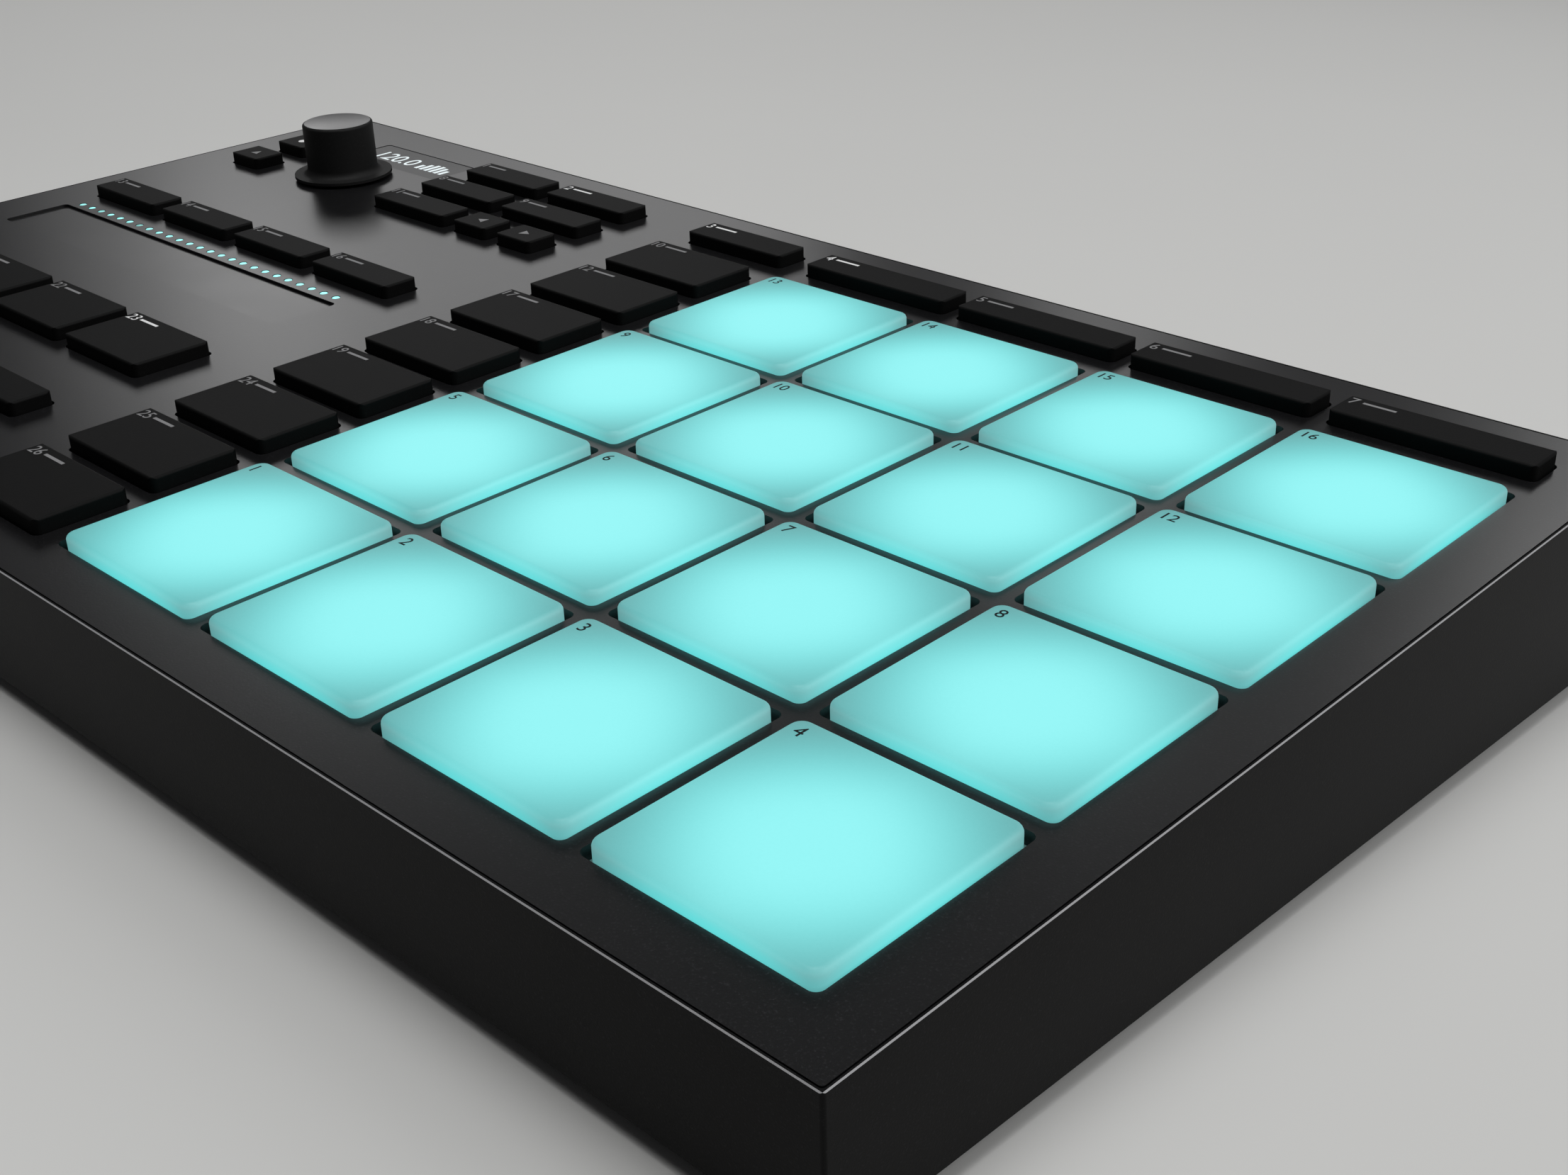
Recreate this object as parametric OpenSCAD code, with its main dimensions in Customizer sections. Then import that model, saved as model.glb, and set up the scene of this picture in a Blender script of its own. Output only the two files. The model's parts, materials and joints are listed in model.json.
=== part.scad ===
// Desktop pad controller: sixteen soft pads, thirty-nine keys, a push-and-turn knob,
// a touch strip with a row of lights and a small display in a wedge-shaped case.
// Lengths are in millimetres. The origin lies under the middle of the case, on the desk.

/* [Panel] */
// Free panel left of the key block
left_margin = 12.4; // [11:0.1:20]
// Free panel right of the pads
right_margin = 10; // [9:0.5:20]
// Free panel in front of the pads
front_margin = 10; // [9:0.5:20]
// Free panel behind the rear keys
rear_margin = 10.6; // [9:0.2:20]
// Thickness of the panel
panel_t = 2; // [1.5:0.1:3]
// Slope of the panel, rising to the rear, in degrees
panel_tilt = 3.7; // [1:0.1:8]

/* [Pads] */
// Width and depth of a pad
pad_w = 33; // [28:0.5:40]
// Gap between two pads
pad_gap = 3.75; // [3.5:0.25:8]
// Height of a pad above the panel
pad_h = 1.5; // [1:0.1:3]
// Corner radius of a pad seen from above
pad_r = 1.9; // [1.5:0.1:4]
// Radius of a pad's upper edge
pad_edge_r = 0.8; // [0.3:0.1:0.9]
// Air between a pad and its opening
pad_clear = 0.65; // [0.4:0.05:0.8]
// Corner radius of a pad's opening
pad_opening_r = 1.2; // [0.8:0.1:3]
// Lip of a pad under the panel, beyond the pad's sides
pad_lip_w = 1.25; // [1.1:0.05:1.6]
// Thickness of that lip
pad_lip_t = 1.4; // [1:0.1:2]
// Width of the foot that presses on the sensor
pad_foot_w = 24; // [16:1:27]
// Height of that foot
pad_foot_h = 1.6; // [1:0.1:2.4]
// Press of a pad
pad_travel = 0.8; // [0.5:0.1:1.2]

/* [Keys] */
// Height of a key above the panel
key_h = 2.35; // [1.6:0.05:4]
// Corner radius of a key seen from above
key_r = 1; // [0.6:0.1:1.6]
// Radius of a key's upper edge
key_edge_r = 0.4; // [0.2:0.1:0.8]
// Air between a key and its opening
key_clear = 0.35; // [0.3:0.05:0.6]
// Lip of a key under the panel, beyond the key's sides
key_lip_w = 1; // [0.8:0.1:1.4]
// Thickness of that lip
key_lip_t = 1.2; // [0.8:0.1:1.6]
// Press of a key
key_travel = 0.8; // [0.5:0.1:1.2]
// Width of the stem under a key
key_stem_w = 4; // [3:0.5:5]
// Air left under a fully pressed key or pad
stop_clear = 0.2; // [0.15:0.05:0.4]

/* [Key places] */
// Width of a key in the left block
left_key_w = 23.6; // [20:0.2:30]
// Gap between two columns of the left block
left_gap = 3.65; // [3:0.05:6]
// Depth of a shallow key
shallow_key_d = 7.4; // [7:0.2:10]
// Depth of a deep key
deep_key_d = 14.6; // [10:0.2:16]
// Distance from row to row of the three rear rows
row_pitch = 12.25; // [11:0.25:14]
// Width of a small key in the left column
small_key_w = 10; // [9:0.5:13]
// Width of an arrow key
arrow_key_w = 9.9; // [8:0.1:10]
// Distance from the rear row to the row behind the lights
play_row_drop = 58.5; // [54:0.5:62]
// Free panel in front of the front row of keys
key_front_margin = 8.7; // [8:0.1:12]
// Gap between the two front rows of the left block
transport_gap = 4.1; // [3:0.1:6]
// Gap from those rows to the row in front of the strip
group_gap = 14.6; // [8:0.1:16]
// Gap between the left block and the column of mode keys
block_gap = 19.1; // [8:0.1:30]
// Width of a mode key
mode_key_w = 25; // [18:0.5:30]
// Gap between the mode keys and the pads
pad_block_gap = 4.9; // [3.8:0.1:8]
// Gap between the pads and the rear row of keys
rear_row_gap = 5.75; // [4:0.25:10]

/* [Knob] */
// Knob axis, from the left edge of the left block
knob_from_left = 30.2; // [26:0.2:40]
// Knob axis, from the middle of the rear row
knob_from_rear_row = 18.7; // [18:0.1:22]
// Diameter of the knob
knob_d = 15.2; // [12:0.2:17]
// Height of the knob's top above the panel
knob_h = 12.2; // [9:0.2:20]
// Radius of the knob's upper edge
knob_edge_r = 0.5; // [0.2:0.1:1.5]
// Diameter of the skirt
skirt_d = 21.2; // [19:0.2:22]
// Thickness of the skirt
skirt_t = 0.6; // [0.4:0.1:1.2]
// Hollow round from the skirt up into the side
skirt_fillet_r = 1.4; // [0.6:0.1:1.8]
// Air under the skirt
skirt_gap = 0.7; // [0.65:0.05:1]
// Diameter of the shaft
shaft_d = 6; // [4:0.5:7]
// Thickness of the cap above the shaft
knob_cap_t = 2.6; // [1.5:0.1:4]
// Press of the knob
push_travel = 0.4; // [0.3:0.05:0.45]

/* [Strip and display] */
// Length of the touch strip
strip_w = 100; // [80:1:104]
// Depth of the touch strip, front to rear
strip_d = 14; // [9:0.5:18]
// How far the strip lies below the panel
strip_sink = 0.5; // [0.3:0.1:1.2]
// Gap between the row behind the lights and the strip
strip_gap = 7.4; // [6:0.2:9]
// Number of lights
light_count = 25; // [9:2:25]
// Distance from light to light
light_pitch = 3.9; // [3:0.1:4]
// Diameter of a light
light_d = 1.7; // [1:0.1:2]
// Distance from the strip's rear edge to the lights
light_from_strip = 2.1; // [1.9:0.1:2.6]
// Width of the display window
display_w = 32; // [24:0.5:34]
// Depth of the display window
display_d = 11.5; // [8:0.5:12]
// Middle of the display, from the left edge of the left block
display_from_left = 32.4; // [31:0.2:36]
// Thickness of the display unit under the panel
display_t = 2.6; // [1.5:0.1:3.5]

/* [Case] */
// Height of the front wall
front_h = 20; // [18:0.5:30]
// Thickness of the walls
wall_t = 2.5; // [2:0.1:3.5]
// Outer corner radius seen from above
corner_r = 0.5; // [0.4:0.1:2]
// Chamfer along the upper edge
rim_chamfer = 0.15; // [0.15:0.05:0.35]
// Width of the rim round the panel
rim_w = 0.4; // [0.4:0.05:0.8]
// Groove between the rim and the panel
groove_w = 0.2; // [0.15:0.05:0.4]
// Width of the ledge that carries the panel
ledge_w = 3; // [2:0.1:3.5]
// Thickness of that ledge
ledge_t = 2; // [1.5:0.1:2.5]
// Thickness of the base
base_t = 2.5; // [2.2:0.1:3.5]
// Air between the base and the walls
base_gap = 0.4; // [0.3:0.1:0.8]
// Diameter of a foot
foot_d = 14; // [10:0.5:20]
// Height of a foot below the base
foot_h = 3; // [2:0.1:6]
// Depth of a foot's seat in the base
foot_seat = 0.8; // [0.4:0.1:1]
// Middle of a foot from the case's sides
foot_inset = 22; // [20:1:40]
// Diameter of a screw's thread
screw_d = 2.8; // [2:0.1:3.2]
// Diameter of a screw's head
screw_head_d = 5.4; // [4.5:0.1:6]
// Height of a screw's head
screw_head_h = 1.4; // [1:0.1:1.6]
// Diameter of a screw boss
boss_d = 7; // [6.5:0.1:8]
// Middle of a screw from the case's sides
boss_inset = 7; // [6.6:0.1:9]

/* [Boards and sockets] */
// Thickness of the circuit board
board_t = 1.6; // [1:0.1:2]
// Air between the board and the ledge, seen from above
board_gap = 1; // [0.5:0.1:3]
// Thickness of the pad sensor sheet
sheet_t = 0.8; // [0.5:0.1:1.2]
// Height of a key switch
switch_h = 2; // [1.5:0.1:2.6]
// Width of a key switch
switch_w = 6; // [4:0.2:6.4]
// Diameter of a post under the board
post_d = 6; // [4:0.5:10]
// Middle of the cable socket, right of the case's middle
socket_x = 92; // [70:1:115]
// Width of the cable socket
socket_w = 12.2; // [11.8:0.1:14]
// Height of the cable socket
socket_h = 10.8; // [10.4:0.1:12]
// Length of the cable socket
socket_len = 16; // [14:0.5:18]
// Width of the socket's mouth
mouth_w = 8.6; // [8.2:0.1:9.4]
// Height of the socket's mouth
mouth_h = 7.9; // [7.6:0.1:8.6]
// Bevel of the mouth's two upper corners
mouth_bevel = 1.4; // [1:0.1:2]
// Middle of the lock slot, right of the case's middle
lock_x = -100; // [-115:1:-70]
// Length of the lock slot
lock_w = 7; // [6:0.1:8]
// Height of the lock slot
lock_h = 3; // [2.6:0.1:3.4]

/* [Hidden] */
$fn = 48;

// Small fixed clearances
shaft_clear = 0.05;
shaft_hole_clear = 0.5;
part_clear = 0.1;
socket_clear = 0.4;
board_clear = 0.8;
cut = 1;

// Small steps in the layout
rear_pitch_trim = 0.5;
rear_row_right = 0.4;
rear_row_back = 0.4;
strip_inset = 0.5;

// Sizes that follow from the layout
pad_count = 4;
mode_count = 8;
left_count = 4;
pad_pitch = pad_w + pad_gap;
pads_w = pad_count * pad_w + (pad_count - 1) * pad_gap;
left_pitch = left_key_w + left_gap;
left_w = left_count * left_key_w + (left_count - 1) * left_gap;
body_w = left_margin + left_w + block_gap + mode_key_w + pad_block_gap + pads_w + right_margin;
body_d = front_margin + pads_w + rear_row_gap + shallow_key_d + rear_margin;
rear_h = front_h + body_d * tan(panel_tilt);

// Place of the panel's middle, at its upper face
panel_y = -(rear_h + rim_chamfer) * sin(panel_tilt) / 2;
panel_z = foot_h + body_d / 2 * sin(panel_tilt) + front_h * cos(panel_tilt);

// The base's outline on the desk side, front to rear
base_front = panel_y - body_d / 2 * cos(panel_tilt) + front_h * sin(panel_tilt);
base_rear = panel_y + body_d / 2 * cos(panel_tilt) + rear_h * sin(panel_tilt);
base_top = foot_h + base_t;

// Depths below the panel's upper face
key_lip_z = panel_t + key_lip_t;
pad_lip_z = panel_t + pad_lip_t;
board_z = pad_lip_z + pad_foot_h + pad_travel + stop_clear + sheet_t;
key_stem_z = board_z - switch_h - key_travel - stop_clear;
board_under_z = board_z + board_t;
collar_t = 0.5;
collar_d = shaft_d + 3;
housing_h = board_z - panel_t - collar_t - push_travel - stop_clear;
boss_h = front_h - board_under_z - base_t - board_clear;

// Plan places on the panel, from its middle
left_x0 = -body_w / 2 + left_margin;
mode_x = left_x0 + left_w + block_gap + mode_key_w / 2;
pad_x0 = body_w / 2 - right_margin - pads_w + pad_w / 2;
pad_y0 = -body_d / 2 + front_margin + pad_w / 2;
rear_y = body_d / 2 - rear_margin - shallow_key_d / 2;
play_y = rear_y - play_row_drop;
front_y = -body_d / 2 + key_front_margin + deep_key_d / 2;
transport_y = front_y + deep_key_d / 2 + transport_gap + shallow_key_d / 2;
group_y = transport_y + shallow_key_d / 2 + group_gap + deep_key_d / 2;
strip_rear_y = play_y - shallow_key_d / 2 - strip_gap;
strip_y = strip_rear_y - strip_d / 2;
strip_x = left_x0 + strip_inset + strip_w / 2;
light_y = strip_rear_y + light_from_strip;
knob_x = left_x0 + knob_from_left;
knob_y = rear_y - knob_from_rear_row;
display_x = left_x0 + display_from_left;
display_y = rear_y + shallow_key_d / 2 - display_d / 2;
board_w = body_w - 2 * (wall_t + ledge_w + board_gap);
board_d = body_d - 2 * (wall_t + ledge_w + board_gap);
socket_z = board_under_z + socket_h / 2;
socket_hole_w = socket_w + 2 * socket_clear;
socket_hole_h = socket_h + 2 * socket_clear;

function left_x(column) = left_x0 + left_key_w / 2 + column * left_pitch;
function pad_x(column) = pad_x0 + column * pad_pitch;
function pad_y(row) = pad_y0 + row * pad_pitch;
function rear_key_x(column) = pad_x(column) + rear_row_right + (pad_count - 1 - column) * rear_pitch_trim;
function row_y(row) = rear_y - row * row_pitch;
function light_x(i) = strip_x + (i - (light_count - 1) / 2) * light_pitch;

// Keys by name: middle x, middle y, width, depth
MODE_NAMES = ["mute", "solo", "select", "duplicate", "variation", "events", "pattern", "scene"];
REAR_NAMES = ["pad_mode", "keyboard", "chords", "step"];
SOUND_NAMES = ["volume", "swing", "tempo"];
BROWSE_NAMES = ["search", "favourite", "home"];
PLAY_NAMES = ["pitch", "mod", "perform", "notes"];
GROUP_NAMES = ["group", "auto", "lock", "note_repeat"];
arrow_x = left_key_w / 2 - arrow_key_w / 2;
KEYS = concat(
    [for (i = [0 : mode_count - 1])
        [MODE_NAMES[i], mode_x, front_y + i * pad_pitch / 2, mode_key_w, deep_key_d]],
    [["fixed_velocity", mode_x, rear_y + rear_row_back, mode_key_w, shallow_key_d]],
    [for (i = [0 : pad_count - 1])
        [REAR_NAMES[i], rear_key_x(i), rear_y + rear_row_back, pad_w, shallow_key_d]],
    [for (i = [0 : 2]) [SOUND_NAMES[i], left_x(2), row_y(i), left_key_w, shallow_key_d]],
    [["plugin", left_x(3), row_y(0), left_key_w, shallow_key_d]],
    [["sampling", left_x(3), row_y(1), left_key_w, shallow_key_d]],
    [["left_arrow", left_x(3) - arrow_x, row_y(2), arrow_key_w, shallow_key_d]],
    [["right_arrow", left_x(3) + arrow_x, row_y(2), arrow_key_w, shallow_key_d]],
    [for (i = [0 : 2]) [BROWSE_NAMES[i], left_x0 + small_key_w / 2, row_y(i), small_key_w, shallow_key_d]],
    [for (i = [0 : left_count - 1]) [PLAY_NAMES[i], left_x(i), play_y, left_key_w, shallow_key_d]],
    [for (i = [0 : left_count - 1]) [GROUP_NAMES[i], left_x(i), group_y, left_key_w, deep_key_d]]
);
TRANSPORT = concat(
    [for (i = [0 : left_count - 1]) ["front", left_x(i), front_y, left_key_w, deep_key_d]],
    [for (i = [0 : left_count - 1]) ["rear", left_x(i), transport_y, left_key_w, shallow_key_d]]
);
ALL_KEYS = concat(KEYS, TRANSPORT);

// Puts what is drawn on the panel, with z = 0 on its upper face, into the case's place
module on_panel() {
    translate([0, panel_y, panel_z])
        rotate([panel_tilt, 0, 0])
            children();
}

// Rectangle with round corners, about its middle
module round_rect(w, d, r) {
    square([w - 2 * r, d], center = true);
    square([w, d - 2 * r], center = true);
    for (sx = [-1, 1], sy = [-1, 1])
        translate([sx * (w / 2 - r), sy * (d / 2 - r)])
            circle(r);
}

// Upright outline with two round upper corners, standing on its middle
module round_topped(w, h, r) {
    translate([-w / 2, 0])
        square([w, h - r]);
    translate([-w / 2 + r, 0])
        square([w - 2 * r, h]);
    for (side = [-1, 1])
        translate([side * (w / 2 - r), h - r])
            circle(r);
}

// Upright outline with two chamfered upper corners
module chamfer_topped(w, h, c) {
    polygon([[-w / 2, 0], [w / 2, 0], [w / 2, h - c], [w / 2 - c, h], [-w / 2 + c, h], [-w / 2, h - c]]);
}

// Block with round plan corners and round upper edges
module soft_block(w, d, h, plan_r, edge_r) {
    intersection() {
        linear_extrude(h)
            round_rect(w, d, plan_r);
        rotate([90, 0, 0])
            linear_extrude(d + 2 * cut, center = true)
                round_topped(w, h, edge_r);
        rotate([90, 0, 90])
            linear_extrude(w + 2 * cut, center = true)
                round_topped(d, h, edge_r);
    }
}

// One key: cap through the panel, lip under it and stem over the switch
module key_body(w, d) {
    translate([0, 0, -key_lip_z])
        soft_block(w, d, key_h + key_lip_z, key_r, key_edge_r);
    translate([0, 0, -key_lip_z])
        linear_extrude(key_lip_t)
            round_rect(w + 2 * key_lip_w, d + 2 * key_lip_w, key_r);
    translate([0, 0, -key_stem_z])
        linear_extrude(key_stem_z - panel_t)
            square(key_stem_w, center = true);
}

module key(place) {
    color("#1b1b1b")
        on_panel()
            translate([place[1], place[2], 0])
                key_body(place[3], place[4]);
}

module transport_keys() {
    for (place = TRANSPORT)
        key(place);
}

// One pad: cap through the panel, lip under it and foot over its sensor
module pad(row, column) {
    color("#8ff2f0")
        on_panel()
            translate([pad_x(column), pad_y(row), 0]) {
                translate([0, 0, -pad_lip_z])
                    soft_block(pad_w, pad_w, pad_h + pad_lip_z, pad_r, pad_edge_r);
                translate([0, 0, -pad_lip_z])
                    linear_extrude(pad_lip_t)
                        round_rect(pad_w + 2 * pad_lip_w, pad_w + 2 * pad_lip_w, pad_r);
                translate([0, 0, -pad_lip_z - pad_foot_h])
                    linear_extrude(pad_foot_h + pad_lip_t)
                        round_rect(pad_foot_w, pad_foot_w, pad_r);
            }
}

module key_opening(w, d) {
    round_rect(w + 2 * key_clear, d + 2 * key_clear, key_r + key_clear);
}

// Panel with an opening for every pad, key, light, the shaft, the display and the strip
module top_panel() {
    inset = 2 * (rim_w + groove_w);
    color("#2b2b2b")
        on_panel()
            translate([0, 0, -panel_t])
                linear_extrude(panel_t)
                    difference() {
                        round_rect(body_w - inset, body_d - inset, corner_r);
                        for (row = [0 : pad_count - 1], column = [0 : pad_count - 1])
                            translate([pad_x(column), pad_y(row)])
                                round_rect(pad_w + 2 * pad_clear, pad_w + 2 * pad_clear, pad_opening_r);
                        for (place = ALL_KEYS)
                            translate([place[1], place[2]])
                                key_opening(place[3], place[4]);
                        translate([knob_x, knob_y])
                            circle(shaft_d / 2 + shaft_hole_clear);
                        translate([display_x, display_y])
                            round_rect(display_w + 2 * part_clear, display_d + 2 * part_clear, key_r);
                        translate([strip_x, strip_y])
                            round_rect(strip_w, strip_d, key_r);
                        for (i = [0 : light_count - 1])
                            translate([light_x(i), light_y])
                                circle(d = light_d);
                    }
}

// Screw places on the base, four along the front and four along the rear, with -y to the wall
module at_screws() {
    for (share = [-1, -1 / 3, 1 / 3, 1]) {
        translate([share * (body_w / 2 - boss_inset), base_front + boss_inset, 0])
            children();
        translate([share * (body_w / 2 - boss_inset), base_rear - boss_inset, 0])
            rotate([0, 0, 180])
                children();
    }
}

// Screw boss with a web into the wall beside it
module screw_boss() {
    web = boss_inset - wall_t / 2;
    cylinder(d = boss_d, h = boss_h);
    translate([-boss_d / 2, -web, 0])
        cube([boss_d, web, boss_h]);
}

// Walls, rim and ledge, square to the panel
module case_shell() {
    tall = rear_h + 2 * cut;
    difference() {
        translate([0, 0, -tall])
            intersection() {
                linear_extrude(tall)
                    round_rect(body_w, body_d, corner_r);
                rotate([90, 0, 0])
                    linear_extrude(body_d + 2 * cut, center = true)
                        chamfer_topped(body_w, tall, rim_chamfer);
                rotate([90, 0, 90])
                    linear_extrude(body_w + 2 * cut, center = true)
                        chamfer_topped(body_d, tall, rim_chamfer);
            }
        translate([0, 0, -panel_t])
            linear_extrude(panel_t + cut)
                round_rect(body_w - 2 * rim_w, body_d - 2 * rim_w, corner_r);
        translate([0, 0, -panel_t - ledge_t - cut])
            linear_extrude(ledge_t + 2 * cut)
                round_rect(body_w - 2 * (wall_t + ledge_w), body_d - 2 * (wall_t + ledge_w), corner_r);
        translate([0, 0, -tall - cut])
            linear_extrude(tall + cut - panel_t - ledge_t)
                round_rect(body_w - 2 * wall_t, body_d - 2 * wall_t, corner_r);
        translate([socket_x, body_d / 2, -socket_z])
            cube([socket_hole_w, 2 * (wall_t + cut), socket_hole_h], center = true);
        translate([lock_x, body_d / 2 - wall_t - cut, -socket_z])
            rotate([-90, 0, 0])
                linear_extrude(wall_t + 2 * cut) {
                    square([lock_w - lock_h, lock_h], center = true);
                    for (side = [-1, 1])
                        translate([side * (lock_w - lock_h) / 2, 0])
                            circle(d = lock_h);
                }
    }
}

module case_frame() {
    color("#191919")
        difference() {
            union() {
                difference() {
                    on_panel()
                        case_shell();
                    translate([-body_w, -body_d, foot_h - 2 * body_d])
                        cube([2 * body_w, 2 * body_d, 2 * body_d]);
                }
                at_screws()
                    translate([0, 0, base_top])
                        screw_boss();
            }
            at_screws()
                translate([0, 0, base_top - cut])
                    cylinder(d = screw_d + 2 * part_clear, h = boss_h);
        }
}

// Flat base inside the walls, with posts square to the board that rests on them
module base_cover() {
    plate_w = body_w - 2 * (wall_t + base_gap);
    plate_d = base_rear - base_front - 2 * (wall_t + base_gap) / cos(panel_tilt);
    color("#151515")
        difference() {
            union() {
                translate([0, (base_front + base_rear) / 2, foot_h])
                    linear_extrude(base_t)
                        round_rect(plate_w, plate_d, corner_r);
                intersection() {
                    on_panel()
                        for (sx = [-0.45, -0.15, 0.15, 0.45], sy = [-0.4, 0, 0.4])
                            translate([sx * board_w, sy * board_d, -board_under_z - rear_h])
                                cylinder(d = post_d, h = rear_h);
                    translate([-body_w, -body_d, foot_h + base_t / 2])
                        cube([2 * body_w, 2 * body_d, 2 * rear_h]);
                }
            }
            at_screws()
                translate([0, 0, foot_h - cut]) {
                    cylinder(d = screw_d + 4 * part_clear, h = base_t + 2 * cut);
                    cylinder(d = screw_head_d + 4 * part_clear, h = screw_head_h + part_clear + cut);
                }
            at_feet()
                translate([0, 0, foot_h - cut])
                    cylinder(d = foot_d + 2 * part_clear, h = foot_seat + cut);
        }
}

module case_screws() {
    color("#3a3a3c")
        at_screws()
            translate([0, 0, foot_h + part_clear]) {
                cylinder(d = screw_head_d, h = screw_head_h);
                cylinder(d = screw_d, h = base_t + boss_h - 2 * cut);
            }
}

module at_feet() {
    for (sx = [-1, 1], y = [base_front + foot_inset, base_rear - foot_inset])
        translate([sx * (body_w / 2 - foot_inset), y, 0])
            children();
}

// Feet with a small chamfer where they meet the desk
module rubber_feet() {
    chamfer = foot_seat / 2;
    color("#101010")
        at_feet()
            rotate_extrude()
                polygon([[0, 0], [foot_d / 2 - chamfer, 0], [foot_d / 2, chamfer],
                         [foot_d / 2, foot_h + foot_seat], [0, foot_h + foot_seat]]);
}

// Circuit board with a switch under every key and the encoder's housing
module main_board() {
    plunger_h = switch_h / 4;
    on_panel() {
        color("#14472c")
            translate([0, 0, -board_under_z])
                linear_extrude(board_t)
                    round_rect(board_w, board_d, corner_r);
        color("#2c2c30")
            for (place = ALL_KEYS)
                translate([place[1], place[2], -board_z]) {
                    translate([-switch_w / 2, -switch_w / 2, 0])
                        cube([switch_w, switch_w, switch_h - plunger_h]);
                    cylinder(d = switch_w / 2, h = switch_h);
                }
        color("#9a9a9c")
            translate([knob_x, knob_y, -board_z])
                difference() {
                    linear_extrude(housing_h)
                        square(2 * shaft_d, center = true);
                    translate([0, 0, -cut])
                        cylinder(d = shaft_d + 2 * shaft_clear, h = housing_h + 2 * cut);
                }
    }
}

// Thin sheet on the board with a raised pressure cell under every pad
module pad_sensor_sheet() {
    film_t = sheet_t / 2;
    color("#3c3424")
        on_panel()
            translate([0, 0, -board_z]) {
                translate([pad_x(0) - pad_w / 2, pad_y(0) - pad_w / 2, 0])
                    cube([pads_w, pads_w, film_t]);
                for (row = [0 : pad_count - 1], column = [0 : pad_count - 1])
                    translate([pad_x(column), pad_y(row), 0])
                        cylinder(d = pad_foot_w, h = sheet_t);
            }
}

// Window pane in the panel and the display unit behind it
module display() {
    frame_w = key_lip_w;
    color("#0c0f12")
        on_panel()
            translate([display_x, display_y, 0]) {
                translate([0, 0, -panel_t - display_t])
                    linear_extrude(display_t + panel_t - part_clear)
                        round_rect(display_w, display_d, key_r);
                translate([0, 0, -panel_t - display_t])
                    linear_extrude(display_t)
                        square([display_w + 2 * frame_w, display_d + 2 * frame_w], center = true);
            }
}

// Sunk touch plate, and behind it the light bar whose pegs end in the panel's light holes
module touch_strip() {
    flange_w = 0.8;
    bar_front = strip_rear_y + flange_w + part_clear;
    bar_d = light_y + light_d - bar_front;
    bar_w = light_count * light_pitch;
    on_panel() {
        color("#242424")
            translate([strip_x, strip_y, -panel_t - key_lip_t]) {
                linear_extrude(key_lip_t + panel_t - strip_sink)
                    round_rect(strip_w - 2 * part_clear, strip_d - 2 * part_clear, key_r - part_clear);
                linear_extrude(key_lip_t)
                    round_rect(strip_w + 2 * flange_w, strip_d + 2 * flange_w, key_r);
            }
        color("#bff6f3") {
            translate([strip_x - bar_w / 2, bar_front, -panel_t - key_lip_t])
                cube([bar_w, bar_d, key_lip_t]);
            for (i = [0 : light_count - 1])
                translate([light_x(i), light_y, -panel_t - key_lip_t])
                    cylinder(d = light_d - 2 * part_clear, h = key_lip_t + panel_t - part_clear);
        }
    }
}

// Square cable socket that hangs under the board and reaches into the rear wall
module usb_socket() {
    wall_back = 1;
    mouth_depth = 9;
    tongue = [5.6, mouth_depth / 2, 3.2];
    front = body_d / 2 - wall_back;
    color("#b4b6b8")
        on_panel()
            translate([socket_x, front, -socket_z]) {
                difference() {
                    translate([-socket_w / 2, -socket_len, -socket_h / 2])
                        cube([socket_w, socket_len, socket_h]);
                    translate([0, cut, -mouth_h / 2])
                        rotate([90, 0, 0])
                            linear_extrude(mouth_depth + cut)
                                chamfer_topped(mouth_w, mouth_h, mouth_bevel);
                }
                translate([-tongue[0] / 2, -mouth_depth - cut, -tongue[2] / 2])
                    cube([tongue[0], tongue[1] + cut, tongue[2]]);
            }
}

// Shaft with the collar that stops it under the panel
module encoder_shaft() {
    foot_z = board_z - push_travel - stop_clear;
    color("#a8a8aa")
        on_panel()
            translate([knob_x, knob_y, 0]) {
                translate([0, 0, -foot_z])
                    cylinder(d = shaft_d, h = foot_z + knob_h - knob_cap_t);
                translate([0, 0, -panel_t - collar_t])
                    cylinder(d = collar_d, h = collar_t);
            }
}

// Turned knob: straight side, thin skirt with a hollow round above it, bore for the shaft
module knob() {
    color("#1a1a1a")
        on_panel()
            translate([knob_x, knob_y, 0])
                rotate_extrude()
                    difference() {
                        union() {
                            translate([0, skirt_gap])
                                square([skirt_d / 2, skirt_t]);
                            translate([0, skirt_gap])
                                square([knob_d / 2, knob_h - knob_edge_r - skirt_gap]);
                            translate([0, skirt_gap])
                                square([knob_d / 2 - knob_edge_r, knob_h - skirt_gap]);
                            translate([knob_d / 2 - knob_edge_r, knob_h - knob_edge_r])
                                circle(knob_edge_r);
                            translate([knob_d / 2, skirt_gap + skirt_t])
                                difference() {
                                    square(skirt_fillet_r);
                                    translate([skirt_fillet_r, skirt_fillet_r])
                                        circle(skirt_fillet_r);
                                }
                        }
                        square([shaft_d / 2 + shaft_clear, knob_h - knob_cap_t]);
                    }
}

top_panel();
case_frame();
base_cover();
case_screws();
rubber_feet();
main_board();
pad_sensor_sheet();
display();
touch_strip();
usb_socket();
encoder_shaft();
knob();
transport_keys();
for (place = KEYS)
    key(place);
for (row = [0 : pad_count - 1], column = [0 : pad_count - 1])
    pad(row, column);
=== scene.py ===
"""Looks of a desktop pad controller: lit silicone pads, soft black keys, a satin knob,
a touch strip with a row of lights and a small display in a grained black case.

Pieces on the sloping panel are worked out in millimetres: x to the right, y to the rear and
z up from the panel's upper face. on_panel() brings them into the shared frame in metres.
"""

import json

import bpy
import numpy as np
from mathutils import Matrix, Vector


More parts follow.
